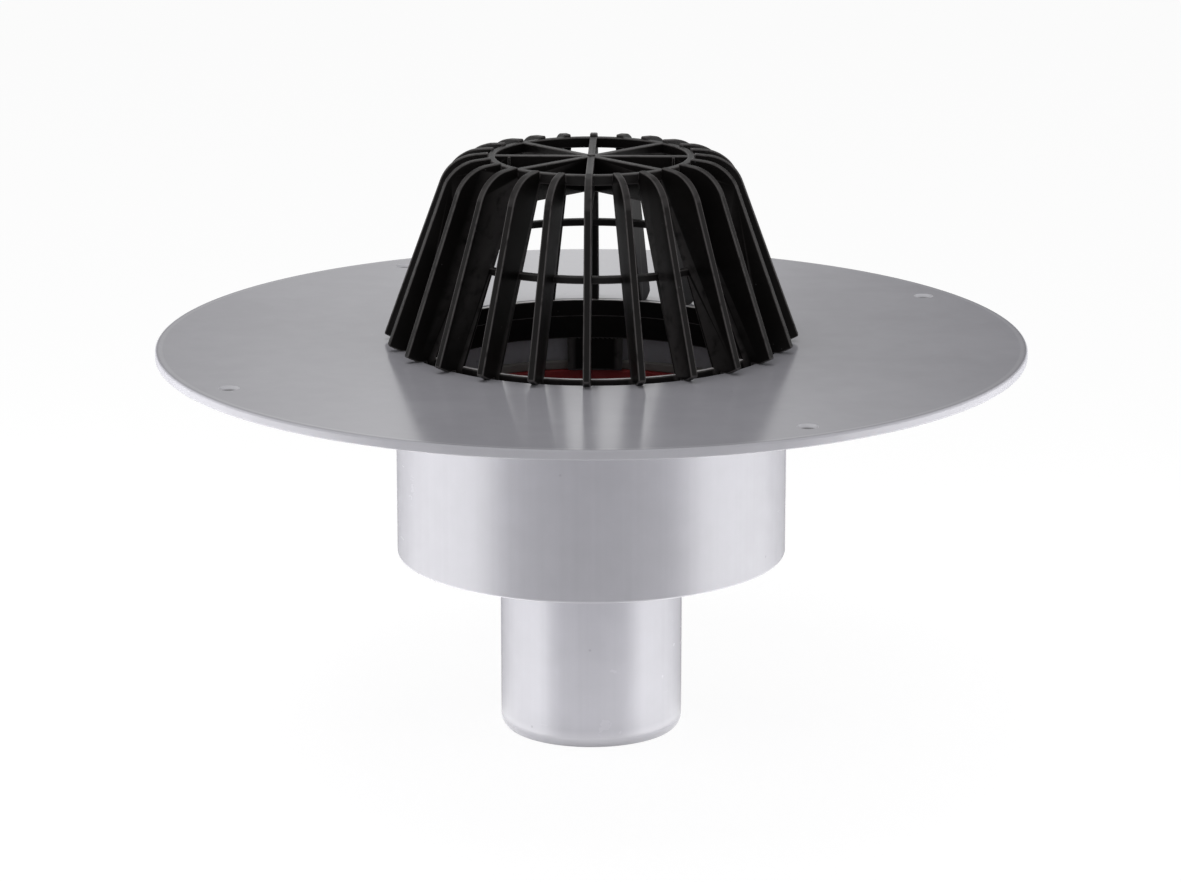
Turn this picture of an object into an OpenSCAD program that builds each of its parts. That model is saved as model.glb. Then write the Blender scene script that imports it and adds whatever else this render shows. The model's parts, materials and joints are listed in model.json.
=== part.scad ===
// Flat roof drain: a PVC flange plate on a wide cup with a narrow outlet spigot,
// and a moulded, ribbed leaf guard that stands over the mouth.
// Millimetres. Z = 0 is the lower end of the spigot, +Z is up, the axis is the Z axis.

/* [Flange plate] */
// Outside diameter of the flange plate
flange_d = 355; // [300:1:450]
// Thickness of the flange plate
flange_t = 4; // [3:0.5:6]
// Rounding of the plate's outer rim
rim_round = 1; // [0.4:0.1:1.4]
// Rounding of the plate's edge round the mouth
mouth_round = 1; // [0.4:0.1:1.5]

/* [Screw holes] */
// Number of countersunk screw holes
hole_count = 4; // [3:1:8]
// Distance from a hole's centre to the plate's rim
hole_edge = 14; // [10:0.5:25]
// Diameter of a screw hole
hole_d = 4.2; // [3:0.1:5]
// Diameter of the countersink at the plate's top
sink_d = 8.2; // [6:0.1:9]
// Angle of the first hole from +X
hole_start = 30; // [0:1:89]

/* [Cup] */
// Outside diameter of the cup
cup_d = 160; // [150:1:180]
// Wall thickness of the cup
cup_wall = 3.2; // [2.5:0.1:4.5]
// Height of the cup under the flange plate
cup_h = 84.4; // [60:0.2:130]
// Thickness of the plate that closes the cup
base_t = 5; // [4:0.5:8]

/* [Outlet spigot] */
// Outside diameter of the spigot
spigot_d = 75; // [50:1:110]
// Wall thickness of the spigot
spigot_wall = 3; // [2.8:0.1:4]
// Length of the spigot below the cup
spigot_drop = 74.6; // [50:0.2:120]
// Height of the rounded nose at the spigot's end
nose_h = 4.3; // [2:0.1:6]
// How far the nose draws in the spigot's radius
nose_in = 1.8; // [0.5:0.1:2]

/* [Joins] */
// Radial gap of a glued joint, filled by the cement
glue_gap = 0.1; // [0.05:0.05:0.2]
// Leg of the cement fillet round a glued joint
fillet_leg = 1.6; // [1:0.1:2.5]
// Depth of the rebate under the flange plate that centres the cup
seat_depth = 0.5; // [0.3:0.1:1]

/* [Seal and its carrier] */
// Depth of the carrier's top below the top of the flange plate
carrier_drop = 26.5; // [24:0.5:32]
// Height of the carrier's upper lip
upper_lip_h = 3.5; // [2:0.5:5]
// Height of the carrier's groove
groove_h = 10; // [8:0.5:12]
// Height of the carrier's lower lip
lower_lip_h = 4; // [3:0.5:8]
// Wall left behind the groove
groove_wall = 1.1; // [0.8:0.1:1.2]
// Radial thickness of the carrier's lips
lip_t = 2.6; // [2.4:0.1:3]
// Radial thickness of the seal's body
seal_t = 3; // [2.6:0.1:3.4]
// How far the sealing lip stands in from the seal's body
seal_lip = 1.6; // [1:0.1:2]
// Clearance of the seal in its groove
seal_gap = 0.1; // [0.05:0.05:0.2]

/* [Leaf guard] */
// Height of the guard's top ring above the flange plate
guard_h = 76.7; // [65:0.1:95]
// Turn of the guard about the axis as it happens to stand
guard_turn = -1.3; // [-7:0.1:7]
// Number of upright ribs
rib_count = 24; // [16:8:32]
// Thickness of a rib
rib_t = 3; // [2.4:0.1:3.4]
// How far the rib tips stand out past the mouth
tip_out = 7.8; // [5:0.1:12]
// Height of the rib tips above the flange plate
tip_lift = 2.5; // [1:0.1:4]
// Width of a rib's flat foot on the flange plate
foot_w = 2.7; // [2:0.1:4]
// Lean of a rib's outer edge from upright
rib_lean = 20; // [14:0.5:22]
// Radius of a rib's shoulder
shoulder_r = 16.5; // [10:0.5:18]
// Fall of a rib's top edge from level
crest_fall = 6; // [3:0.5:9]
// How far a rib's top stands over the ring
crest_rise = 1; // [0.4:0.1:1.5]

/* [Guard ring and spokes] */
// Outside diameter of the top ring
ring_d = 83.8; // [70:0.2:90]
// Radial thickness of the top ring
ring_t = 3; // [2.4:0.1:4]
// Height of the top ring
ring_h = 4.3; // [3:0.1:6]
// Thickness of a spoke
spoke_t = 3; // [2.4:0.1:4]
// Depth of a spoke
spoke_h = 14.2; // [10:0.1:18]
// Distance of the two side nibs from the ring's inner face
nib_in = 5.7; // [4:0.1:12]
// Width of a nib, and how far it stands out of its spoke
nib_w = 1.1; // [0.8:0.1:1.5]
// Depth of a nib's top below the spoke's
nib_drop = 0.4; // [0.2:0.1:2]
// Diameter of the gate mark on the hub
gate_d = 3.2; // [2:0.1:5]
// Height of the gate mark
gate_h = 0.5; // [0.2:0.1:0.8]

/* [Guard hoop] */
// Height of the hoop's middle above the flange plate
hoop_z = 37.6; // [25:0.1:50]
// Height of the hoop
hoop_h = 3; // [2:0.1:4]
// Radial thickness of the hoop
hoop_t = 2.8; // [2.2:0.1:4]
// How far the hoop stands in from the middle of the ribs' inner edges
hoop_in = 0.5; // [0:0.1:1]

/* [Guard collar and legs] */
// Gap between the collar's fins and the cup
fin_gap = 0.8; // [0.4:0.1:1.2]
// Reach of the fins below the flange plate's top
fin_drop = 5.7; // [4:0.1:10]
// Radial width of the fins between the collar and the cup
fin_w = 3.5; // [2.5:0.1:5]
// Radial thickness of the collar's upper wall
collar_t = 2.5; // [2:0.1:3.5]
// Rise of the collar above the flange plate
collar_rise = 1; // [0.5:0.1:2]
// Depth of the collar's step below the flange plate's top
step_drop = 5.7; // [3:0.1:8]
// Width of the step inside the collar
step_w = 0.6; // [0.4:0.1:1]
// Reach of the collar below the flange plate's top
collar_drop = 15.5; // [12:0.5:18]
// Number of legs
leg_count = 4; // [2:2:4]
// Width of a leg where it leaves the collar
leg_w = 23.5; // [15:0.5:30]
// Narrowing of a leg on each side, down to its end
leg_taper = 0.2; // [0:0.1:3]
// Gap between the legs' ends and the seal
leg_gap = 0.5; // [0.3:0.1:1]

/* [Hidden] */

// Overlap of a cut with the face that it starts from, and of a part with what it grows out of
EPS = 0.01;
BITE = 1;
// Smoothness of the large and the small circles
SMOOTH = 96;
SMALL = 48;

// Heights of the faces, from the spigot's end up
base_z = spigot_drop;
plate_z = base_z + cup_h;
top_z = plate_z + flange_t;
carrier_h = upper_lip_h + groove_h + lower_lip_h;
carrier_z = top_z - carrier_drop - carrier_h;
seal_top_z = carrier_z + lower_lip_h + groove_h - seal_gap;

// Radii of the parts that fit in one another
cup_r = cup_d / 2;
mouth_r = cup_r - cup_wall;
spigot_r = spigot_d / 2;
hole_ring_r = flange_d / 2 - hole_edge;
carrier_r = mouth_r - glue_gap;
seal_r = carrier_r - groove_wall - seal_gap;
fin_r = mouth_r - fin_gap;
collar_r = fin_r - fin_w;
collar_in_r = collar_r - collar_t;
tip_r = mouth_r + tip_out;
foot_r = mouth_r + foot_w;
ring_r = ring_d / 2;

// Sharp corner where a rib's outer and top edges would meet, and half the angle between them
crest_z = guard_h + crest_rise;
lean = tan(rib_lean);
fall = tan(crest_fall);
corner_r = (tip_r + lean * (tip_lift - crest_z - fall * ring_r)) / (1 - lean * fall);
corner_z = crest_z - fall * (corner_r - ring_r);
corner_half = (90 + crest_fall + rib_lean) / 2;

// Inner edge of a rib, from the collar to the top ring
inner_low = [collar_in_r + step_w, collar_rise];
inner_high = [ring_r - ring_t / 2, guard_h - ring_h];
function inner_edge_r(z) = inner_low[0]
    + (inner_high[0] - inner_low[0]) * (z - inner_low[1]) / (inner_high[1] - inner_low[1]);

// Share of the seal's height that its body takes above the lip
BODY_SHARE = 0.45;

// Rectangle on the X axis whose two outer corners are rounded
module round_rim(r, h, round) {
    square([r - round, h]);
    translate([0, round]) square([r, h - 2 * round]);
    translate([r - round, round]) circle(round, $fn = SMOOTH);
    translate([r - round, h - round]) circle(round, $fn = SMOOTH);
}

// What is cut off a square corner at the origin to leave a round one, its body towards +X and -Y
module outer_corner(round) {
    difference() {
        translate([-EPS, -round]) square([round + EPS, round + EPS]);
        translate([round, -round]) circle(round, $fn = SMOOTH);
    }
}

// Concave fillet in the corner of a wall at X = 0 and a ceiling at Y = 0
module fillet(leg) {
    difference() {
        translate([0, -leg]) square(leg);
        translate([leg, -leg]) circle(leg, $fn = SMOOTH);
    }
}

// Flat disc with the mouth in its middle, a rebate under it for the cup and its fillet,
// and countersunk screw holes near its rim
module flange_plate() {
    seat_r = cup_r + fillet_leg + glue_gap;
    color([0.66, 0.66, 0.68])
    difference() {
        translate([0, 0, plate_z])
        rotate_extrude($fn = SMOOTH)
        difference() {
            round_rim(flange_d / 2, flange_t, rim_round);
            translate([-EPS, -EPS]) square([mouth_r + EPS, flange_t + 2 * EPS]);
            translate([-EPS, -EPS]) square([seat_r + EPS, seat_depth + EPS]);
            translate([mouth_r, flange_t]) outer_corner(mouth_round);
        }
        for (i = [0 : hole_count - 1])
            rotate(hole_start + i * 360 / hole_count)
            translate([hole_ring_r, 0, plate_z])
            screw_hole();
    }
}

// Through hole with a right-angled countersink, cut from the plate's top
module screw_hole() {
    sink_h = (sink_d - hole_d) / 2;
    translate([0, 0, -BITE]) cylinder(d = hole_d, h = flange_t + 2 * BITE, $fn = SMALL);
    translate([0, 0, flange_t - sink_h]) cylinder(d1 = hole_d, d2 = sink_d, h = sink_h, $fn = SMALL);
    translate([0, 0, flange_t - EPS]) cylinder(d = sink_d, h = BITE, $fn = SMALL);
}

// Length of straight pipe that hangs from the flange plate's rebate, with its fillet outside
module cup() {
    color([0.70, 0.70, 0.72])
    rotate_extrude($fn = SMOOTH)
    union() {
        translate([mouth_r, base_z]) square([cup_wall, cup_h + seat_depth]);
        translate([cup_r, plate_z + seat_depth]) fillet(fillet_leg);
    }
}

// Disc glued inside the cup's lower end, bored for the spigot
module base_plate() {
    bore_r = spigot_r + glue_gap;
    color([0.68, 0.68, 0.70])
    rotate_extrude($fn = SMOOTH)
    translate([bore_r, base_z]) square([mouth_r - glue_gap - bore_r, base_t]);
}

// Straight pipe with a rounded nose, glued through the base plate with a fillet under it
module spigot() {
    nose_r = (nose_h * nose_h + nose_in * nose_in) / (2 * nose_in);
    color([0.74, 0.74, 0.76])
    rotate_extrude($fn = SMOOTH)
    union() {
        difference() {
            translate([spigot_r - spigot_wall, 0]) square([spigot_wall, base_z + base_t]);
            difference() {
                translate([spigot_r - nose_in, -EPS]) square([nose_in + EPS, nose_h + EPS]);
                translate([spigot_r - nose_r, nose_h]) circle(nose_r, $fn = SMOOTH);
            }
        }
        translate([spigot_r, base_z]) fillet(fillet_leg);
    }
}

// Grooved ring glued to the cup's wall, which holds the seal between its two lips
module seal_carrier() {
    color([0.50, 0.48, 0.47])
    translate([0, 0, carrier_z])
    rotate_extrude($fn = SMOOTH)
    difference() {
        translate([carrier_r - lip_t, 0]) square([lip_t, carrier_h]);
        translate([carrier_r - lip_t - EPS, lower_lip_h]) square([lip_t - groove_wall + EPS, groove_h]);
    }
}

// Rubber lip seal: a square body in the groove, and a lip that leans down and inwards
module seal_ring() {
    seal_h = groove_h - 2 * seal_gap;
    body_h = seal_h * BODY_SHARE;
    in_r = seal_r - seal_t;
    color([0.45, 0.05, 0.06])
    translate([0, 0, seal_top_z - seal_h])
    rotate_extrude($fn = SMOOTH)
    polygon([
        [seal_r, 0],
        [seal_r, seal_h],
        [in_r, seal_h],
        [in_r, seal_h - body_h],
        [in_r - seal_lip, body_h / 4],
        [in_r - seal_lip / 2, 0],
        [in_r + seal_lip / 2, body_h],
        [seal_r - seal_lip, body_h],
        [seal_r - seal_lip, 0]
    ]);
}

// One moulding: ribs, top ring, spokes, hoop, collar and legs
module leaf_guard() {
    color([0.09, 0.085, 0.085])
    translate([0, 0, top_z])
    rotate(guard_turn)
    union() {
        for (i = [0 : rib_count - 1])
            rotate(i * 360 / rib_count) guard_rib();
        guard_rings();
        guard_spokes();
        guard_legs();
    }
}

// Upright blade that stands on the flange plate, leans in and rounds over to the top ring
module guard_rib() {
    rotate([90, 0, 0])
    linear_extrude(rib_t, center = true)
    difference() {
        polygon([
            [collar_in_r + collar_t / 2, -fin_drop],
            [fin_r, -fin_drop],
            [fin_r, 0],
            [foot_r, 0],
            [tip_r, tip_lift],
            [corner_r, corner_z],
            [ring_r, crest_z],
            [ring_r - EPS, guard_h],
            [ring_r - ring_t / 2, guard_h],
            inner_high,
            inner_low,
            [collar_in_r + collar_t / 2, collar_rise]
        ]);
        shoulder_cut();
    }
}

// What is cut off the rib's sharp corner to leave its round shoulder: a triangle whose base
// joins the points where the arc starts and ends, less the arc's own circle
module shoulder_cut() {
    arc_run = shoulder_r / tan(corner_half);
    half_base = arc_run * sin(corner_half);
    base_y = -arc_run * cos(corner_half);
    translate([corner_r, corner_z])
    rotate((rib_lean - crest_fall) / 2 - 45)
    difference() {
        polygon([[0, BITE], [-half_base - BITE, base_y], [half_base + BITE, base_y]]);
        translate([0, -shoulder_r / sin(corner_half)]) circle(shoulder_r, $fn = SMOOTH);
    }
}

// Top ring, hoop and stepped collar
module guard_rings() {
    rotate_extrude($fn = SMOOTH)
    union() {
        translate([ring_r - ring_t, guard_h - ring_h]) square([ring_t, ring_h]);
        translate([inner_edge_r(hoop_z) - hoop_in, hoop_z - hoop_h / 2]) square([hoop_t, hoop_h]);
        polygon([
            [collar_in_r, collar_rise],
            [collar_r, collar_rise],
            [collar_r, -collar_drop],
            [collar_in_r - step_w, -collar_drop],
            [collar_in_r - step_w, -step_drop],
            [collar_in_r, -step_drop]
        ]);
    }
}

// Four deep bars across the top ring, in line with every third rib, with nibs and the gate mark
module guard_spokes() {
    spoke_r = inner_edge_r(guard_h - spoke_h) + BITE;
    nib_r = ring_r - ring_t - nib_in;
    for (i = [0 : 3])
        rotate(i * 45)
        translate([-spoke_r, -spoke_t / 2, guard_h - spoke_h])
        cube([2 * spoke_r, spoke_t, spoke_h]);
    for (side = [-1, 1])
        translate([side * nib_r - nib_w / 2, -spoke_t / 2 - nib_w, guard_h - spoke_h])
        cube([nib_w, spoke_t + 2 * nib_w, spoke_h - nib_drop]);
    translate([0, 0, guard_h - BITE]) cylinder(d = gate_d, h = BITE + gate_h, $fn = SMALL);
}

// Tapered tongues under the collar that centre the guard in the cup
module guard_legs() {
    leg_in_r = collar_in_r - step_w;
    leg_end = top_z - seal_top_z - leg_gap;
    half = leg_w / 2;
    intersection() {
        translate([0, 0, -leg_end])
        rotate_extrude($fn = SMOOTH)
        translate([leg_in_r, 0]) square([collar_r - leg_in_r, leg_end - step_drop]);
        for (i = [0 : leg_count - 1])
            rotate(i * 360 / leg_count)
            translate([collar_r / 2, 0, 0])
            rotate([90, 0, 90])
            linear_extrude(collar_r)
            polygon([
                [-half, -step_drop],
                [-half, -collar_drop],
                [-half + leg_taper, -leg_end - EPS],
                [half - leg_taper, -leg_end - EPS],
                [half, -collar_drop],
                [half, -step_drop]
            ]);
    }
}

flange_plate();
cup();
base_plate();
spigot();
seal_carrier();
seal_ring();
leaf_guard();
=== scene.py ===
import json
import math

import bpy
import numpy as np
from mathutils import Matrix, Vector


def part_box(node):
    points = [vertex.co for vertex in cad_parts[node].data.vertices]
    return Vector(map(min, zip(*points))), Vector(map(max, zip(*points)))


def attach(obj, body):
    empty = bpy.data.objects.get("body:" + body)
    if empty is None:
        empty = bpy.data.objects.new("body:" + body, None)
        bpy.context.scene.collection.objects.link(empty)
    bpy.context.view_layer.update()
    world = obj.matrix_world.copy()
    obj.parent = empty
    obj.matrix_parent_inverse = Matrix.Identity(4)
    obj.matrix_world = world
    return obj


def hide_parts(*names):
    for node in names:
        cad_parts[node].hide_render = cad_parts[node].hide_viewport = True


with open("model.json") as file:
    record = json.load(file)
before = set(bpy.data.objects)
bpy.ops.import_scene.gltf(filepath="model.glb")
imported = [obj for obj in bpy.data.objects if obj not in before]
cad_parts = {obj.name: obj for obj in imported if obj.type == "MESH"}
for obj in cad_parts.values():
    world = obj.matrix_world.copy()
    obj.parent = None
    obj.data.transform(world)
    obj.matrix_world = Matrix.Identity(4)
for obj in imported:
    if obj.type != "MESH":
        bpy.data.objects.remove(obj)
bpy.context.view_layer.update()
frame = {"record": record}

mounts = {mount["name"]: mount["dims"] for mount in frame["record"]["mounts"]}


# ---- Flange plate ------------------------------------------------------------------------
# A disc of rigid grey PVC sheet, rounded at the rim and round the mouth. A shallow rebate under
# it takes the cup's end, and four countersunk holes near the rim take the deck screws.

plate_low, plate_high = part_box("flange_plate")
plate_z, top_z = plate_low.z, plate_high.z
plate_r = plate_high.x
cup_r = mounts["cup_outside"]["r_mm"] / 1000
cup_wall = 0.0032
mouth_r = cup_r - cup_wall
glue_gap = 0.0001
fillet_leg = 0.0016
seat_z = plate_z + 0.0005
seat_r = cup_r + fillet_leg + glue_gap


def rounded(corners, hold=0.00015):
    """Closed outline through corners (x, y, radius). Each corner becomes an arc of its radius
    that touches both sides: its centre lies on the line that halves the corner, radius / sin of
    half the corner's angle away. A wide arc gets a point every 5 degrees and a small one every
    17. One more point before and after it keeps the flats flat. A corner of no radius stays
    sharp."""
    outline = []
    for i, (x, y, radius) in enumerate(corners):
        here = np.array((x, y))
        if radius == 0:
            outline.append(here)
            continue
        sides = np.array([corners[i - 1][:2], corners[(i + 1) % len(corners)][:2]]) - here
        sides /= np.linalg.norm(sides, axis=1)[:, None]
        half = math.acos(sides[0] @ sides[1]) / 2
        reach = radius / math.tan(half)
        middle = sides.sum(0) / np.linalg.norm(sides.sum(0))
        centre = here + middle * radius / math.sin(half)
        start = here + sides[0] * reach - centre
        cross = sides[0][0] * sides[1][1] - sides[0][1] * sides[1][0]
        pace = 0.09 if radius > 0.005 else 0.3
        steps = max(3, math.ceil((math.pi - 2 * half) / pace))
        turn = np.linspace(0, math.copysign(math.pi - 2 * half, -cross), steps + 1)
        arc = np.stack((start[0] * np.cos(turn) - start[1] * np.sin(turn),
                        start[0] * np.sin(turn) + start[1] * np.cos(turn)), 1) + centre
        outline += [here + sides[0] * (reach + hold), *arc, here + sides[1] * (reach + hold)]
    return np.array(outline)


def grid_faces(rows, columns, wrap_rows=True):
    """Four-sided faces between the neighbours on a grid of points whose columns close into a
    loop, and whose rows do too where they wrap."""
    row = np.arange(rows if wrap_rows else rows - 1)[:, None]
    column = np.arange(columns)[None, :]
    after, right = (row + 1) % rows, (column + 1) % columns
    corners = (row * columns + column, row * columns + right, after * columns + right,
               after * columns + column)
    return np.stack(np.broadcast_arrays(*corners), -1).reshape(-1, 4)


def capped_faces(rows, columns):
    """Faces of a stack of loops of points, closed by a flat face at each end."""
    last = (rows - 1) * columns
    return [*grid_faces(rows, columns, wrap_rows=False).tolist(),
            list(range(columns))[::-1], list(range(last, last + columns))]


def solid(name, points, faces):
    """New object at the origin whose mesh has these points, in metres, and these faces."""
    mesh = bpy.data.meshes.new(name)
    mesh.from_pydata(points.reshape(-1, 3), [], faces)
    made = bpy.data.objects.new(name, mesh)
    bpy.context.scene.collection.objects.link(made)
    return made


def lathe(outline, segments):
    """Each point (r, z) of an outline goes once round the upright axis, with x = r cos a and
    y = r sin a. One row of points for each point of the outline."""
    angle = np.arange(segments) * 2 * math.pi / segments
    r, z = np.array(outline)[:, 0, None], np.array(outline)[:, 1, None]
    return np.stack((r * np.cos(angle), r * np.sin(angle), z + 0 * angle), -1)


def turned(name, outline, segments=256):
    """Ring turned on a lathe from a closed outline."""
    return solid(name, lathe(outline, segments), grid_faces(len(outline), segments))


def plug(name, steps, centre, segments=48):
    """Stack of rings (r, z) about an upright line through centre, closed by a flat face at each
    end."""
    return solid(name, lathe(steps, segments) + np.array(centre), capped_faces(len(steps), segments))


def combine(body, tool, operation):
    """Cuts the tool out of the body, or fuses the two, and removes the tool."""
    step = body.modifiers.new("Step", "BOOLEAN")
    step.operation, step.solver, step.object = operation, "MANIFOLD", tool
    bpy.context.view_layer.objects.active = body
    bpy.ops.object.modifier_apply(modifier=step.name)
    bpy.data.objects.remove(tool)


def mark_edges(mesh, full=math.radians(14)):
    """Stores the attribute "edge" on the points of a closed mesh: 1 where two faces meet at an
    outward bend of this angle or more, and 0 on flats and in inner corners."""
    normals, middles = np.empty(len(mesh.polygons) * 3), np.empty(len(mesh.polygons) * 3)
    mesh.polygons.foreach_get("normal", normals)
    mesh.polygons.foreach_get("center", middles)
    normals, middles = normals.reshape(-1, 3), middles.reshape(-1, 3)
    corners = np.empty(len(mesh.polygons), int)
    mesh.polygons.foreach_get("loop_total", corners)
    owner = np.repeat(np.arange(len(mesh.polygons)), corners)
    edge_of, ends = np.empty(len(mesh.loops), int), np.empty(len(mesh.edges) * 2, int)
    mesh.loops.foreach_get("edge_index", edge_of)
    mesh.edges.foreach_get("vertices", ends)
    one, other = owner[np.argsort(edge_of, kind="stable")].reshape(-1, 2).T
    bend = np.arccos(np.clip((normals[one] * normals[other]).sum(1), -1, 1))
    outward = (normals[one] * (middles[other] - middles[one])).sum(1) < 0
    value = np.zeros(len(mesh.vertices))
    np.maximum.at(value, ends, np.repeat(np.clip(bend / full, 0, 1) * outward, 2))
    mesh.attributes.new("edge", "FLOAT", "POINT").data.foreach_set("value", value)


def finish(obj, material, node):
    """Smooths the rounded stretches, gives the piece its material and sets it in its node's place."""
    mark_edges(obj.data)
    obj.data.materials.clear()
    obj.data.materials.append(material)
    obj.data.polygons.foreach_set("use_smooth", np.ones(len(obj.data.polygons), bool))
    obj.data.set_sharp_from_angle(angle=math.radians(35))
    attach(obj, "root")
    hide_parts(node)


class Wire:
    """An output socket of a shader tree. Sums, products and powers of it add Math nodes."""

    def __init__(self, tree, socket=None):
        self.tree, self.socket = tree, socket

    def node(self, kind, settings=(), inputs=(), out=0):
        """Adds a node of a type, sets its settings, then its sockets' values or links."""
        made = self.tree.nodes.new("ShaderNode" + kind)
        for name, value in dict(settings).items():
            setattr(made, name, value)
        for name, value in dict(inputs).items():
            if isinstance(value, Wire):
                self.tree.links.new(value.socket, made.inputs[name])
            else:
                made.inputs[name].default_value = value
        return Wire(self.tree, made.outputs[out] if made.outputs else None)

    def maths(self, operation, *values):
        return self.node("Math", {"operation": operation}, enumerate(values))

    def __add__(self, other):
        return self.maths("ADD", self, other)

    def __sub__(self, other):
        return self.maths("SUBTRACT", self, other)

    def __rsub__(self, other):
        return self.maths("SUBTRACT", other, self)

    def __mul__(self, other):
        return self.maths("MULTIPLY", self, other)

    __radd__, __rmul__ = __add__, __mul__

    def mix(self, low, high):
        """Colour that goes from low to high as this value goes from 0 to 1."""
        return self.node("Mix", {"data_type": "RGBA"}, {0: self, 6: low, 7: high}, out=2)

    def step(self, start, end):
        """Goes smoothly from 0 to 1 while this value goes from start to end."""
        return self.node("MapRange", {"interpolation_type": "SMOOTHSTEP"},
                         {"Value": self, "From Min": start, "From Max": end})

    def between(self, start, full, fade, end):
        """Rises smoothly from 0 to 1 while this value goes from start to full, and falls back to
        0 while it goes from fade to end."""
        return self.step(start, full) * (1 - self.step(fade, end))

    def bump(self, distance, strength):
        """Normals of a surface that this value raises by up to distance."""
        return self.node("Bump", inputs={"Height": self, "Distance": distance, "Strength": strength})

    def axis(self, which):
        """X, y or z of this position, for 0, 1 or 2."""
        return self.node("SeparateXYZ", inputs={0: self}, out=which)

    def length(self):
        """Length of this vector."""
        return self.node("VectorMath", {"operation": "LENGTH"}, {0: self}, out=1)

    def place(self, scale=(1, 1, 1), turn=(0, 0, 0)):
        """Coordinates on the piece, turned and then stretched along each axis."""
        where = self.node("TexCoord", out=3)
        return self.node("Mapping", {"vector_type": "POINT"},
                         {"Vector": where, "Scale": scale, "Rotation": turn})

    def noise(self, where, size, detail=2):
        """Cloudy value round 0.5 whose patches are about size metres across."""
        return self.node("TexNoise", inputs={"Vector": where, "Scale": 1 / size, "Detail": detail})

    def specks(self, where, spacing, share, size):
        """Small round spots, 1 at their middle: one cell in some of a grid of cells has one."""
        cells = {"Vector": where, "Scale": 1 / spacing}
        chance = self.node("SeparateColor", inputs={0: self.node("TexVoronoi", inputs=cells, out=1)})
        near = 1 - self.node("TexVoronoi", inputs=cells).step(0, size / spacing)
        return near * chance.step(1 - share, 1 - share + 0.001)


def new_material(name):
    """Empty material and the start of its shader tree."""
    made = bpy.data.materials.new(name)
    made.use_nodes = True
    made.node_tree.nodes.clear()
    return made, Wire(made.node_tree)


def close_material(start, surface):
    """Links the last shader of a tree to the material's output."""
    start.node("OutputMaterial", inputs={"Surface": surface})


def scratches(start, along, across, turn):
    """Fine straight marks of one direction: a noise stretched along it, kept where it is
    highest."""
    where = start.place((1 / along, 1 / across, 1 / along), (0, 0, turn))
    return start.noise(where, 1, detail=1).step(0.72, 0.8)


screws = mounts["flange_screws"]
hole_r, hole_ring = screws["hole_r_mm"] / 1000, screws["pcd_mm"] / 2000
hole_turn = math.radians(30)
sink_r = 0.0041
sink_h = sink_r - hole_r
# Dark grey for real specks, scratches and scuffs, and for painted shade in the bores and on the rim.
grime_and_painted_shade = (0.13, 0.13, 0.135, 1)


def sheet_pvc():
    """Pressed grey PVC sheet: a cloudy satin gloss over faint waves, hairline handling scratches
    two ways and a few dark specks. The cut rim and the countersinks are paler. Just inside the
    rim, a painted highlight ring and a painted shade line stand in for the light on the rim's
    rounding, and the bores below the countersinks are painted dark as shade. Folding the plate
    four times about its holes leaves one hole, so one distance serves them all."""
    material, start = new_material("sheet_pvc")
    where = start.place()
    cloud = start.noise(where, 0.06, detail=3)
    haze = start.noise(where, 0.012, detail=4)
    wave = start.noise(where, 0.03, detail=1)
    peel = start.noise(where, 0.0035, detail=1)
    height = where.axis(2)
    radius = start.place((1, 1, 0)).length()
    folded = start.place(turn=(0, 0, -hole_turn))
    one, other = (start.maths("ABSOLUTE", folded.axis(which)) for which in (0, 1))
    along = start.maths("MAXIMUM", one, other) - hole_ring
    aside = start.maths("MINIMUM", one, other)
    apart = start.maths("SQRT", along * along + aside * aside)
    sunk = height.step(top_z - 0.003, top_z - 0.0025) * (1 - apart.step(sink_r, sink_r + 0.0002))
    # Painted shade: the bore below each countersink is painted dark, where shade falls in the recess.
    painted_bore_shade = sunk * (1 - apart.step(hole_r + 0.0005, hole_r + 0.0012))
    cut = radius.step(plate_r - 0.001, plate_r - 0.0003)
    # Painted light: a paler ring and a darker line just inside the rim stand in for the light and
    # shade on its rounding.
    painted_highlight_ring = radius.between(plate_r - 0.0035, plate_r - 0.0025, plate_r - 0.0018, plate_r - 0.0012)
    painted_shade_line = radius.between(plate_r - 0.0014, plate_r - 0.0009, plate_r - 0.0006, plate_r - 0.0002)
    marks = scratches(start, 0.03, 0.0004, 0.5) + scratches(start, 0.022, 0.0003, 2.1)
    dots = start.specks(where, 0.011, 0.10, 0.0009)
    colour = (cloud * 0.6 + haze * 0.4).step(0.3, 0.7)
    colour = colour.mix((0.386, 0.381, 0.414, 1), (0.414, 0.409, 0.444, 1))
    colour = (painted_highlight_ring * 0.22 + sunk).mix(colour, (0.63, 0.625, 0.66, 1))
    colour = (dots * 0.4 + marks * 0.05 + painted_shade_line * 0.15 + painted_bore_shade * 0.85).mix(colour, grime_and_painted_shade)
    relief = (wave * 12 + haze * 1.2 + peel - marks * 0.5) * (1 - cut)
    pressed = start.node("BsdfPrincipled", inputs={
        "Base Color": colour,
        "Roughness": haze * 0.08 + cloud * 0.05 + marks * 0.1 + painted_bore_shade * 0.1 + 0.09,
        "IOR": 1.5,
        "Normal": relief.bump(0.000004, 0.6)})
    sawn = start.node("BsdfPrincipled", inputs={
        "Base Color": haze.mix((0.52, 0.515, 0.555, 1), (0.6, 0.595, 0.64, 1)),
        "Roughness": haze * 0.2 + 0.5,
        "Specular IOR Level": 0.0})
    close_material(start, start.node("MixShader", inputs={0: cut * 0.55, 1: pressed, 2: sawn}))
    return material


flange = turned("flange_plate_sheet", rounded([
    (mouth_r, seat_z, 0.0002),
    (seat_r, seat_z, 0),
    (seat_r, plate_z, 0.0002),
    (plate_r, plate_z, 0.001),
    (plate_r, top_z, 0.001),
    (mouth_r, top_z, 0.001)]), segments=512)

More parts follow.
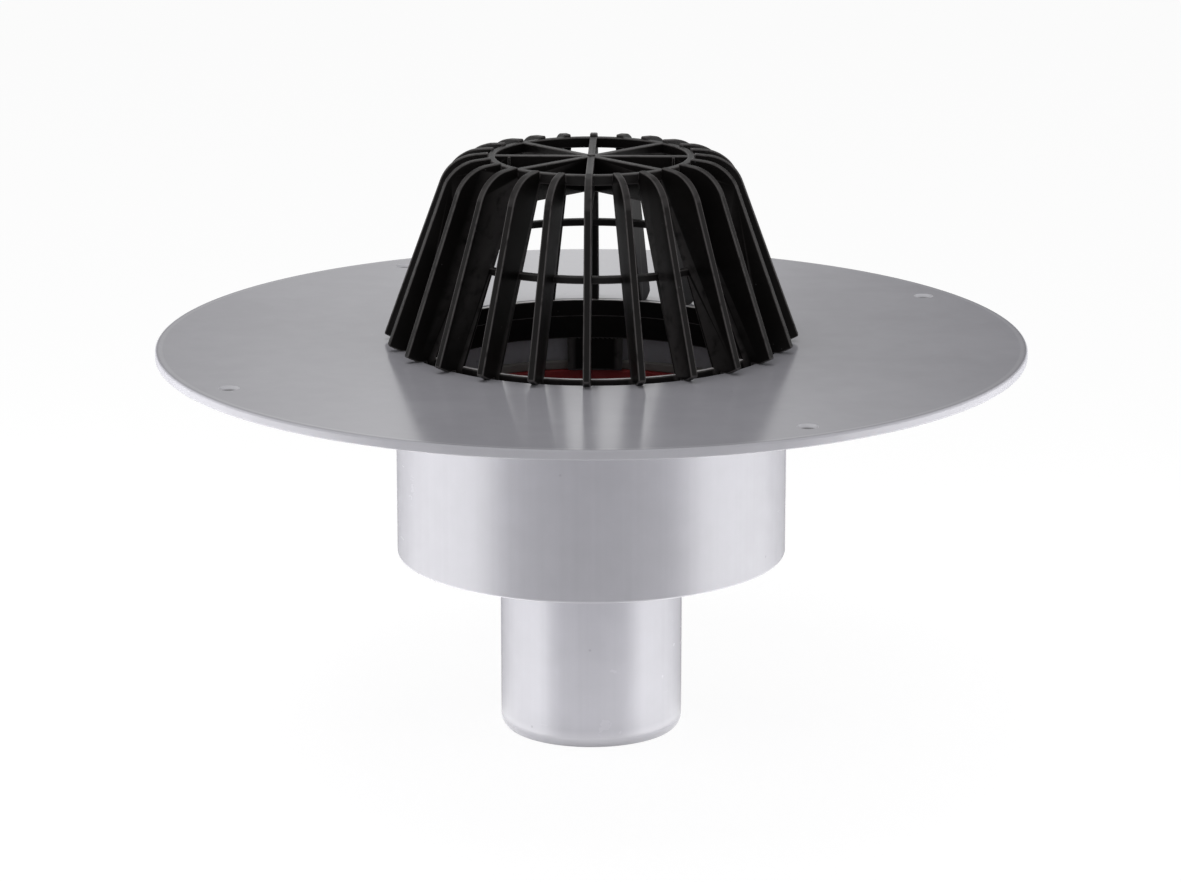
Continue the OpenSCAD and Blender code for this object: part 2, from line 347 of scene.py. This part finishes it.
past = 0.001
for i in range(screws["count"]):
    turn = hole_turn + 2 * math.pi / screws["count"] * i
    centre = (hole_ring * math.cos(turn), hole_ring * math.sin(turn), top_z)
    combine(flange, plug("screw_hole", [
        (hole_r, plate_z - top_z - past),
        (hole_r, -sink_h),
        (sink_r, 0),
        (sink_r, past)], centre), "DIFFERENCE")
sheet = sheet_pvc()
finish(flange, sheet, "flange_plate")


# ---- Cup ---------------------------------------------------------------------------------
# A length of extruded 160 mm PVC pipe, sawn square and eased at its lower edge. Its upper end
# sits in the plate's rebate, with a fillet of solvent cement round the outside.

base_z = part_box("cup")[0].z


def fillet_points(corner_r, corner_z, leg):
    """Hollow quarter circle from the wall up to the ceiling, which touches both: its centre is one
    leg out from the wall and one leg below the ceiling. The ceiling's end comes last."""
    turn = np.linspace(math.pi, math.pi / 2, 7)
    return np.stack((corner_r + leg + leg * np.cos(turn), corner_z - leg + leg * np.sin(turn)), 1)


def pipe_pvc():
    """Extruded grey PVC pipe: die lines and broad bands along it, a cloudy satin gloss, specks,
    scuffs round it from handling and paler sawn edges. Its lowest few millimetres, just over the
    table, are painted paler as painted light from below."""
    material, start = new_material("pipe_pvc")
    where = start.place()
    cloud = start.noise(where, 0.05, detail=3)
    haze = start.noise(where, 0.010, detail=4)
    lines = start.noise(start.place((1 / 0.0025, 1 / 0.0025, 1 / 0.3)), 1, detail=2)
    bands = start.noise(start.place((1 / 0.012, 1 / 0.012, 1 / 0.5)), 1, detail=2)
    cut = start.node("Attribute", {"attribute_name": "edge"}, out=2)
    # Painted light: the lowest few millimetres are painted paler, standing in for light from the
    # table below.
    painted_light_low = 1 - where.axis(2).step(0.003, 0.008)
    scuffs = start.noise(start.place((1 / 0.014, 1 / 0.014, 1 / 0.0004)), 1, detail=1)
    scuffs = scuffs.step(0.74, 0.84)
    dots = start.specks(where, 0.012, 0.13, 0.0009)
    colour = (cloud * 0.3 + haze * 0.4 + lines * 0.3).step(0.3, 0.7)
    colour = colour.mix((0.394, 0.389, 0.422, 1), (0.426, 0.421, 0.457, 1))
    colour = (cut * 0.5 + painted_light_low * 0.8).mix(colour, (0.58, 0.575, 0.61, 1))
    colour = (dots * 0.45 + scuffs * 0.05).mix(colour, grime_and_painted_shade)
    relief = lines * 3 + bands * 6 + haze - scuffs * 0.3
    close_material(start, start.node("BsdfPrincipled", inputs={
        "Base Color": colour,
        "Roughness": haze * 0.08 + cloud * 0.05 + scuffs * 0.03 + cut * 0.1 + 0.18,
        "IOR": 1.5,
        "Normal": relief.bump(0.000006, 0.6)}))
    return material


def with_fillet(corners, at, corner_r, corner_z):
    """Outline of a pipe's wall, with a fillet's points put in before its corner number at."""
    outline = rounded(corners)
    place = int(np.argmin(np.hypot(*(outline - corners[at][:2]).T)))
    return np.insert(np.delete(outline, place, 0), place,
                     fillet_points(corner_r, corner_z, fillet_leg), 0)


cup = turned("cup_pipe", with_fillet([
    (mouth_r, base_z, 0.0005),
    (cup_r, base_z, 0.0008),
    (cup_r, seat_z, 0),
    (mouth_r, seat_z, 0.0002)], 2, cup_r, seat_z), segments=384)
pipe = pipe_pvc()
finish(cup, pipe, "cup")


# ---- Base plate --------------------------------------------------------------------------
# A disc of the same sheet, turned to fit inside the cup's lower end and bored for the spigot.
# Solvent cement in the thin gaps holds it.

base_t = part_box("base_plate")[1].z - base_z
spigot_r = mounts["spigot_outside"]["r_mm"] / 1000
base = turned("base_plate_sheet", rounded([
    (spigot_r + glue_gap, base_z, 0.0002),
    (mouth_r - glue_gap, base_z, 0.0003),
    (mouth_r - glue_gap, base_z + base_t, 0.0003),
    (spigot_r + glue_gap, base_z + base_t, 0.0003)]))
finish(base, sheet, "base_plate")


# ---- Outlet spigot -----------------------------------------------------------------------
# Extruded 75 mm PVC pipe, cemented through the base plate with a fillet under it. Its lower end
# is turned to a wide arc, so that it enters the next pipe's seal easily.

bore_r = mounts["spigot_bore"]["r_mm"] / 1000
spigot_top = base_z + base_t
ease = 0.0003
nose_h = 0.0043
nose_in = 0.0018
nose_r = (nose_h ** 2 + nose_in ** 2) / (2 * nose_in)
nose_turn = np.linspace(-math.asin(nose_h / nose_r), 0, 9)
nose = np.stack((spigot_r - nose_r + nose_r * np.cos(nose_turn),
                 nose_h + nose_r * np.sin(nose_turn)), 1)
wall_top = np.array([
    (spigot_r, base_z),
    (spigot_r, spigot_top - ease),
    (spigot_r - ease, spigot_top),
    (bore_r + ease, spigot_top),
    (bore_r, spigot_top - ease)])
bore_end = np.array([(bore_r, 0.0006), (bore_r + 0.0002, 0.0001), (bore_r + 0.0005, 0)])
spigot = turned("spigot_pipe", np.concatenate((
    nose, [(spigot_r, nose_h + 0.0002)], fillet_points(spigot_r, base_z, fillet_leg), wall_top,
    bore_end)))
finish(spigot, pipe, "spigot")


# ---- Seal carrier ------------------------------------------------------------------------
# A moulded ring of warm grey plastic, cemented inside the cup. Its two lips hold the seal, and
# the upper one stays in sight below the guard's collar.

carrier_low, carrier_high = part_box("seal_carrier")
carrier_z, carrier_top = carrier_low.z, carrier_high.z
carrier_r = mouth_r - glue_gap
lip_in = carrier_r - 0.0026
groove_r = carrier_r - 0.0011
low_lip_h, high_lip_h = 0.004, 0.0035
groove_low, groove_high = carrier_z + low_lip_h, carrier_top - high_lip_h


def carrier_plastic():
    """Moulded plastic: warm grey, matt, with a fine grain and soft flow clouds."""
    material, start = new_material("carrier_plastic")
    where = start.place()
    flow = start.noise(where, 0.015, detail=3)
    grain = start.noise(where, 0.0004, detail=2)
    close_material(start, start.node("BsdfPrincipled", inputs={
        "Base Color": flow.step(0.3, 0.7).mix((0.20, 0.185, 0.175, 1), (0.235, 0.22, 0.21, 1)),
        "Roughness": flow * 0.1 + grain * 0.06 + 0.36,
        "Normal": grain.bump(0.00001, 0.6)}))
    return material


carrier = turned("seal_carrier_moulding", rounded([
    (groove_r, groove_low, 0.0002),
    (lip_in, groove_low, 0.0003),
    (lip_in, carrier_z, 0.0005),
    (carrier_r, carrier_z, 0.0003),
    (carrier_r, carrier_top, 0.0003),
    (lip_in, carrier_top, 0.0006),
    (lip_in, groove_high, 0.0003),
    (groove_r, groove_high, 0.0002)]))
finish(carrier, carrier_plastic(), "seal_carrier")


# ---- Seal ring ---------------------------------------------------------------------------
# A dark red rubber ring in the carrier's groove. Its body is square, and its lip leans down and
# inwards, to be bent outwards by a pipe that is pushed in from above.

seal_gap = 0.0001
seal_z, seal_top = groove_low + seal_gap, groove_high - seal_gap
seal_r = groove_r - seal_gap
seal_in = seal_r - 0.003
lip = 0.0016
body_h = 0.45 * (seal_top - seal_z)


def seal_rubber():
    """Soft dark red rubber with a dull bloom and a fine moulded grain."""
    material, start = new_material("seal_rubber")
    where = start.place()
    bloom = start.noise(where, 0.008, detail=4)
    grain = start.noise(where, 0.0003, detail=2)
    close_material(start, start.node("BsdfPrincipled", inputs={
        "Base Color": bloom.step(0.35, 0.75).mix((0.30, 0.018, 0.02, 1), (0.33, 0.035, 0.036, 1)),
        "Roughness": bloom * 0.2 + 0.42,
        "Normal": grain.bump(0.00001, 0.5)}))
    return material


seal = turned("seal_ring_rubber", rounded([
    (seal_r, seal_z, 0.0003),
    (seal_r, seal_top, 0.0004),
    (seal_in, seal_top, 0.0006),
    (seal_in, seal_top - body_h, 0.0008),
    (seal_in - lip, seal_z + body_h / 4, 0.0004),
    (seal_in - lip / 2, seal_z, 0.0003),
    (seal_in + lip / 2, seal_z + body_h, 0.0004),
    (seal_r - lip, seal_z + body_h, 0.0003),
    (seal_r - lip, seal_z, 0.0003)], hold=0.00005))
finish(seal, seal_rubber(), "seal_ring")


# ---- Leaf guard: collar, hoop and top ring -----------------------------------------------
# The guard is one black moulding that stands loose in the mouth. Three rings tie its ribs: a
# stepped collar inside the mouth, a hoop half-way up and the ring that closes the top.

guard_h = 0.0767
collar_r = 0.0725
collar_in = 0.0700
collar_step = 0.0006
collar_top, step_z, collar_low = 0.001, -0.0057, -0.0155
ring_r, ring_t, ring_h = 0.0419, 0.003, 0.0043
edge = 0.00045
inner_low = (collar_in + collar_step, collar_top)
inner_high = (ring_r - ring_t / 2, guard_h - ring_h)


def inner_edge(z):
    """Radius of the ribs' straight inner edge at a height above the flange plate's top."""
    slope = (inner_high[0] - inner_low[0]) / (inner_high[1] - inner_low[1])
    return inner_low[0] + slope * (z - inner_low[1])


hoop_z, hoop_h, hoop_t = 0.0376, 0.003, 0.0028
hoop_in = inner_edge(hoop_z) - 0.0005


def turned_together(name, outlines, segments=192):
    """One object from rings turned on a lathe, which stand clear of each other. The outlines are
    in heights above the plate's top."""
    starts = np.cumsum([0] + [len(outline) * segments for outline in outlines])
    points = [lathe(outline + np.array((0, top_z)), segments) for outline in outlines]
    faces = [grid_faces(len(outline), segments) + start for outline, start in zip(outlines, starts)]
    return solid(name, np.concatenate(points), np.concatenate(faces))


guard = turned_together("leaf_guard_moulding", [
    rounded([
        (collar_in - collar_step, collar_low, 0.0004),
        (collar_r, collar_low, 0.0004),
        (collar_r, collar_top, 0.0004),
        (collar_in, collar_top, 0.0004),
        (collar_in, step_z, 0.0002),
        (collar_in - collar_step, step_z, 0.0002)]),
    rounded([
        (hoop_in, hoop_z - hoop_h / 2, edge),
        (hoop_in + hoop_t, hoop_z - hoop_h / 2, edge),
        (hoop_in + hoop_t, hoop_z + hoop_h / 2, edge),
        (hoop_in, hoop_z + hoop_h / 2, edge)]),
    rounded([
        (ring_r - ring_t, guard_h - ring_h, edge),
        (ring_r, guard_h - ring_h, edge),
        (ring_r, guard_h, edge),
        (ring_r - ring_t, guard_h, edge)])])


# ---- Leaf guard: ribs --------------------------------------------------------------------
# Twenty-four upright blades with eased edges. Each stands on the plate by a flat foot, leans in,
# rounds over at the shoulder, and reaches down inside the mouth as a short fin that centres it.

rib_count = 24
rib_t = 0.003
guard_turn = math.radians(-1.3)
fin_r, fin_low = 0.0760, -0.0057
foot_r, tip_r, tip_z = 0.0795, 0.0846, 0.0025
crest_z = guard_h + 0.001
shoulder = 0.0165
lean, fall = math.tan(math.radians(20)), math.tan(math.radians(6))
corner_r = (tip_r + lean * (tip_z - crest_z - fall * ring_r)) / (1 - lean * fall)
corner_z = crest_z - fall * (corner_r - ring_r)
root_z = -0.001
crown_r, crown_z = ring_r - 0.0003, guard_h - ring_h / 2


def blade(outline, thickness, ease, hold=0.00012):
    """Points and faces of a flat plate with eased edges, upright on the X axis. The outline (r, z)
    runs counter-clockwise. Going over the edge from side to side, each ring of points is the
    outline moved in by ease * (1 - sin t), and out from the middle by half the thickness less
    ease * (1 - cos t)."""
    ahead = np.roll(outline, -1, 0) - outline
    ahead /= np.linalg.norm(ahead, axis=1)[:, None]
    inward = np.stack((-ahead[:, 1], ahead[:, 0]), 1)
    both = inward + np.roll(inward, 1, 0)
    corner = 2 * both / (both ** 2).sum(1)[:, None]
    t = np.linspace(0, math.pi / 2, 5)
    depth = np.concatenate(([ease + hold], ease * (1 - np.sin(t)), [0]))
    side = thickness / 2 - np.concatenate(([0], ease * (1 - np.cos(t)), [ease + hold]))
    depth, side = np.concatenate((depth, depth[::-1])), np.concatenate((side, -side[::-1]))
    rings = outline[None] + corner[None] * depth[:, None, None]
    across = np.broadcast_to(side[:, None], rings.shape[:2])
    points = np.stack((rings[..., 0], across, rings[..., 1]), -1)
    return points.reshape(-1, 3), capped_faces(*rings.shape[:2])


def turned_copies(name, points, faces, angles):
    """One object from copies of a shape, each turned about the axis by its angle and raised to the
    plate's top."""
    c, s = np.cos(angles)[:, None], np.sin(angles)[:, None]
    x, y, z = points.T
    copies = np.stack((c * x - s * y, s * x + c * y, z + top_z + 0 * c), -1)
    every = [np.add(face, k * len(points)) for k in range(len(angles)) for face in faces]
    return solid(name, copies, every)


rib_outline = rounded([
    (inner_edge(root_z), fin_low, 0),
    (fin_r, fin_low, 0.0006),
    (fin_r, 0, 0.0002),
    (foot_r, 0, 0.0008),
    (tip_r, tip_z, 0.0008),
    (corner_r, corner_z, shoulder),
    (crown_r, crest_z, 0.0007),
    (crown_r, crown_z, 0),
    (inner_edge(crown_z), crown_z, 0),
    (inner_edge(root_z), root_z, 0)])
rib_angles = guard_turn + np.arange(rib_count) * 2 * math.pi / rib_count
combine(guard, turned_copies("ribs", *blade(rib_outline, rib_t, edge), rib_angles), "UNION")


# ---- Leaf guard: spokes, nibs and gate mark ----------------------------------------------
# Deep flat bars cross inside the top ring, in line with every third rib. Two of them carry a
# small nib on each side, and the moulding's gate left a low round mark on the hub.

spoke_t = 0.00296
spoke_z = guard_h - 0.0142
spoke_r = inner_edge(spoke_z) + 0.001
spoke_count = 4


def oblong(left, right, low, high):
    """Outline with four sharp corners."""
    return np.array([(left, low), (right, low), (right, high), (left, high)])


bar = blade(oblong(-spoke_r, spoke_r, spoke_z, guard_h), spoke_t, 0.0004)
for i in range(spoke_count):
    angle = guard_turn + i * math.pi / spoke_count
    combine(guard, turned_copies("spoke", *bar, np.array([angle])), "UNION")

nib_x = ring_r - ring_t - 0.0057
nib_w = 0.0011
nib_top = guard_h - 0.0004
nib = blade(oblong(nib_x - nib_w / 2, nib_x + nib_w / 2, spoke_z, nib_top),
            spoke_t + 2 * nib_w, 0.00025, hold=0.0001)
combine(guard, turned_copies("nibs", *nib, guard_turn + np.array([0, math.pi])), "UNION")

gate_r, gate_h = 0.0016, 0.0005
combine(guard, plug("gate_mark", [
    (gate_r, -0.001),
    (gate_r, gate_h - 0.0002),
    (gate_r - 0.00015, gate_h - 0.00007),
    (gate_r - 0.0004, gate_h)], (0, 0, top_z + guard_h)), "UNION")


# ---- Leaf guard: legs --------------------------------------------------------------------
# Four curved tongues under the collar reach down to just above the seal and keep the guard from
# tipping. Their sides are almost straight, and their ends are eased.

leg_count = 4
leg_gap = 0.0005
leg_top, leg_low = -0.010, seal_top + leg_gap - top_z
leg_half, leg_taper = 0.01175, 0.0002
leg_skin = 0.00005
leg_out, leg_in = collar_r - leg_skin, collar_in - collar_step + leg_skin


def leg_solid(stations=10, across=13, ease=0.0006, side=0.06):
    """Points and faces of a tongue bent to the collar's round: for each depth z, a closed loop of
    points runs over its outer face and back over its inner face, where x = sqrt(r r - y y). Its
    lower end, and the share called side of its half width, curve in by ease."""
    bend = np.linspace(0, math.pi / 2, 5)
    z = np.concatenate((leg_low + ease * (1 - np.cos(bend)),
                        np.linspace(leg_low + 0.001, leg_top, stations)))
    shrink = np.concatenate((ease * (1 - np.sin(bend)), np.zeros(stations)))[:, None]
    depth = np.clip((collar_low - z) / (collar_low - leg_low), 0, 1)[:, None]
    share = np.linspace(-1, 1, across)
    y = (leg_half - leg_taper * depth - shrink) * share
    out = np.clip((np.abs(share) - 1 + side) / side, 0, 1)
    round_off = shrink + ease * (1 - np.sqrt(1 - out ** 2))
    outer, inner = (np.stack((np.sqrt(r ** 2 - y ** 2), y, z[:, None] + 0 * y), -1)
                    for r in (leg_out - round_off, leg_in + round_off))
    points = np.concatenate((outer, inner[:, ::-1]), 1)
    return points.reshape(-1, 3), capped_faces(*points.shape[:2])


leg_angles = guard_turn + np.arange(leg_count) * 2 * math.pi / leg_count
combine(guard, turned_copies("legs", *leg_solid(), leg_angles), "UNION")


def guard_plastic():
    """Black moulded plastic: satin, with a fine spark-eroded grain, soft flow clouds and specks of
    pale dust. Its outward corners carry a grey painted highlight, broken up by noise, and the
    collar's top inner rim carries a near-white painted highlight."""
    material, start = new_material("guard_plastic")
    where = start.place()
    flow = start.noise(where, 0.02, detail=3)
    grain = start.noise(where, 0.0005, detail=3)
    dust = start.specks(where, 0.0035, 0.12, 0.0004)
    height = where.axis(2)
    radius = start.place((1, 1, 0)).length()
    # Painted highlight: a near-white line round the collar's top inner rim, with a smoother finish.
    painted_rim_highlight = height.between(top_z + 0.0008, top_z + 0.00095, top_z + 0.0011, top_z + 0.0013)
    painted_rim_highlight = painted_rim_highlight * (1 - radius.step(collar_r - 0.0008, collar_r - 0.0004))
    # Painted highlight: outward corners painted grey, broken up by noise, standing in for glints on
    # the edges.
    painted_edge_highlight = start.node("Attribute", {"attribute_name": "edge"}, out=2)
    painted_edge_highlight = painted_edge_highlight * start.noise(where, 0.004).step(0.1, 0.55)
    colour = flow.step(0.3, 0.7).mix((0.0040, 0.0034, 0.0033, 1), (0.0060, 0.0052, 0.0050, 1))
    colour = painted_edge_highlight.mix(colour, (0.075, 0.07, 0.07, 1))
    colour = painted_rim_highlight.mix(colour, (0.75, 0.73, 0.73, 1))
    colour = (dust * 0.25).mix(colour, (0.25, 0.25, 0.25, 1))
    close_material(start, start.node("BsdfPrincipled", inputs={
        "Base Color": colour,
        "Roughness": flow * 0.1 + grain * 0.1 + 0.3 - painted_rim_highlight * 0.2,
        "IOR": 1.5,
        "Specular IOR Level": 0.12,
        "Normal": grain.bump(0.00002, 0.7)}))
    return material


finish(guard, guard_plastic(), "leaf_guard")


# ---- Studio ------------------------------------------------------------------------------
# A white table in a white room, which also look white in reflections. Soft lamps stand overhead, on
# each side and in front, a faint one lifts the floor's bounce, and the table keeps a soft shadow.

def seen(start):
    """1 for what the camera, a mirror or a clear body sees, and 0 for light that falls on things."""
    camera, mirror, clear = (start.node("LightPath", out=name) for name in
                             ("Is Camera Ray", "Is Glossy Ray", "Is Transmission Ray"))
    return start.maths("MAXIMUM", camera, start.maths("MAXIMUM", mirror, clear))


shadow_depth = 0.2
table_material, start = new_material("white_table")
matt = start.node("BsdfDiffuse", inputs={"Color": (0.8, 0.8, 0.8, 1)})
glow = start.node("Emission", inputs={"Color": (1, 1, 1, 1), "Strength": 0.88})
lit = start.node("AddShader", inputs={0: glow, 1: start.node("MixShader", inputs={
    0: shadow_depth, 1: start.node("Emission", inputs={"Strength": 0.0}), 2: matt})})
close_material(start, start.node("MixShader", inputs={0: seen(start), 1: matt, 2: lit}))
reach = 4.0
table = solid("white_table", np.array([
    (-reach, -reach, 0), (reach, -reach, 0), (reach, reach, 0), (-reach, reach, 0)]), [(0, 1, 2, 3)])
table.data.materials.append(table_material)

world = bpy.data.worlds.new("white_room")
bpy.context.scene.world = world
world.use_nodes = True
world.node_tree.nodes.clear()
room = Wire(world.node_tree)
fill = room.node("Background", inputs={"Color": (1, 1, 1, 1), "Strength": 0.5})
white = room.node("Background", inputs={"Color": (1, 1, 1, 1), "Strength": 1.0})
mixed = room.node("MixShader", inputs={0: seen(room), 1: fill, 2: white})
room.node("OutputWorld", inputs={"Surface": mixed})


def soft_lamp(name, place, aim, width, height, power):
    """Area lamp of a width and a height, in watts, that faces the point it aims at."""
    light = bpy.data.lights.new(name, "AREA")
    light.shape, light.size, light.size_y, light.energy = "RECTANGLE", width, height, power
    lamp = bpy.data.objects.new(name, light)
    bpy.context.scene.collection.objects.link(lamp)
    lamp.location = place
    away = lamp.location - type(lamp.location)(aim)
    lamp.rotation_euler = away.to_track_quat("Z", "Y").to_euler()
    lamp.visible_camera = lamp.visible_glossy = False


soft_lamp("overhead", (-0.3, 0.0, 1.4), (0, 0, 0.1), 0.9, 0.9, 4.4)
soft_lamp("left_box", (-0.46, -0.01, 0.1), (0, -0.01, 0.1), 0.6, 0.19, 1.47)
soft_lamp("right_box", (0.46, -0.05, 0.1), (0, -0.05, 0.1), 0.6, 0.19, 1.3)
soft_lamp("front_fill", (0, -1.3, 0.25), (0, 0, 0.1), 0.8, 0.4, 0.65)
soft_lamp("floor_glow", (0, -0.08, 0.001), (0, -0.08, 1), 0.16, 0.07, 0.04)


# Two glowing cards that only shiny surfaces see. One stands behind, and the flange plate mirrors
# its two patches, one broad and one small behind the guard. The other is a low ring on the table,
# bright at both sides, and gives the two pipes their pale bands.

def glowing_card(name, points, faces, start, material, strength):
    """Piece of the studio with a glow that varies over it, seen in reflections alone."""
    close_material(start, start.node("Emission", inputs={"Strength": strength}))
    material.cycles.emission_sampling = "NONE"
    card = solid(name, points, faces)
    card.data.materials.append(material)
    card.visible_camera = card.visible_diffuse = card.visible_shadow = False


card_y, card_half, card_h = 0.8, 1.0, 1.4


def oval(start, x, z, width, height):
    """Oval glow on the rear card: 1 at its middle (x, z), and 0 from this width to either side
    and this height up or down."""
    spot = start.node("VectorMath", {"operation": "SUBTRACT"}, {
        0: start.place((1 / width, 1, 1 / height)), 1: (x / width, card_y, z / height)})
    return 1 - spot.length().step(0, 1)


rear_glow, start = new_material("rear_card")
broad = oval(start, -0.06, 0.46, 0.42, 0.55)
height = start.place().axis(2)
high, low = height.step(0.37, 0.45), 1 - height.step(0.2, 0.26)
small = oval(start, 0, 0.3, 0.13, 0.1)
glowing_card("rear_card", np.array([
    (-card_half, card_y, 0), (card_half, card_y, 0),
    (card_half, card_y, card_h), (-card_half, card_y, card_h)]), [(0, 1, 2, 3)],
    start, rear_glow, broad * 0.8 + small * 0.6 + high * 0.22 + low * 0.9 + 0.02)

# On the ring, turn runs from 0 at the front to 1 at the back. The glow's pattern slides towards
# the front near the axis, where the spigot mirrors it, by a turn of shift over the distance.

shift = 0.0066
side_glow, start = new_material("side_card")
east, south = start.place((1, 1, 0)).axis(0), start.place((-1, -1, 0)).axis(1)
apart = start.place((1, 1, 0)).length()
turn = start.maths("ARCTAN2", start.maths("ABSOLUTE", east), south) * (1 / math.pi)
turn = turn + start.maths("DIVIDE", shift, apart)
band = start.node("MapRange", inputs={
    "Value": turn, "From Min": 0.41, "From Max": 0.72, "To Min": 6.8, "To Max": 1.0})
band = band * start.node("MapRange", inputs={
    "Value": turn, "From Min": 0.72, "From Max": 0.94, "To Min": 1.0, "To Max": 0.0})
card_outline = [(0.045, 0.0005), (0.57, 0.0005), (0.6, 0.03), (0.6, 0.14)]
glowing_card("side_card", lathe(card_outline, 96), grid_faces(4, 96, wrap_rows=False),
             start, side_glow,
             turn.step(0.24, 0.38) * (band - 1.6) + turn.step(0.08, 0.26) * 0.6 + 1)

# The camera stands in front, camera_far away from the point that it aims at, and looks down by the
# angle camera_drop.

camera = bpy.data.objects.new("camera", bpy.data.cameras.new("camera"))
bpy.context.scene.collection.objects.link(camera)
bpy.context.scene.camera = camera
camera.data.lens = 135.65
camera_drop, camera_far = math.radians(14.612), 1.8285
aim_x, aim_z = -0.00033, 0.1204
camera.location = (aim_x, -camera_far * math.cos(camera_drop),
                   aim_z + camera_far * math.sin(camera_drop))
camera.rotation_euler = (math.pi / 2 - camera_drop, 0, 0)
bpy.context.scene.view_settings.view_transform = "Standard"
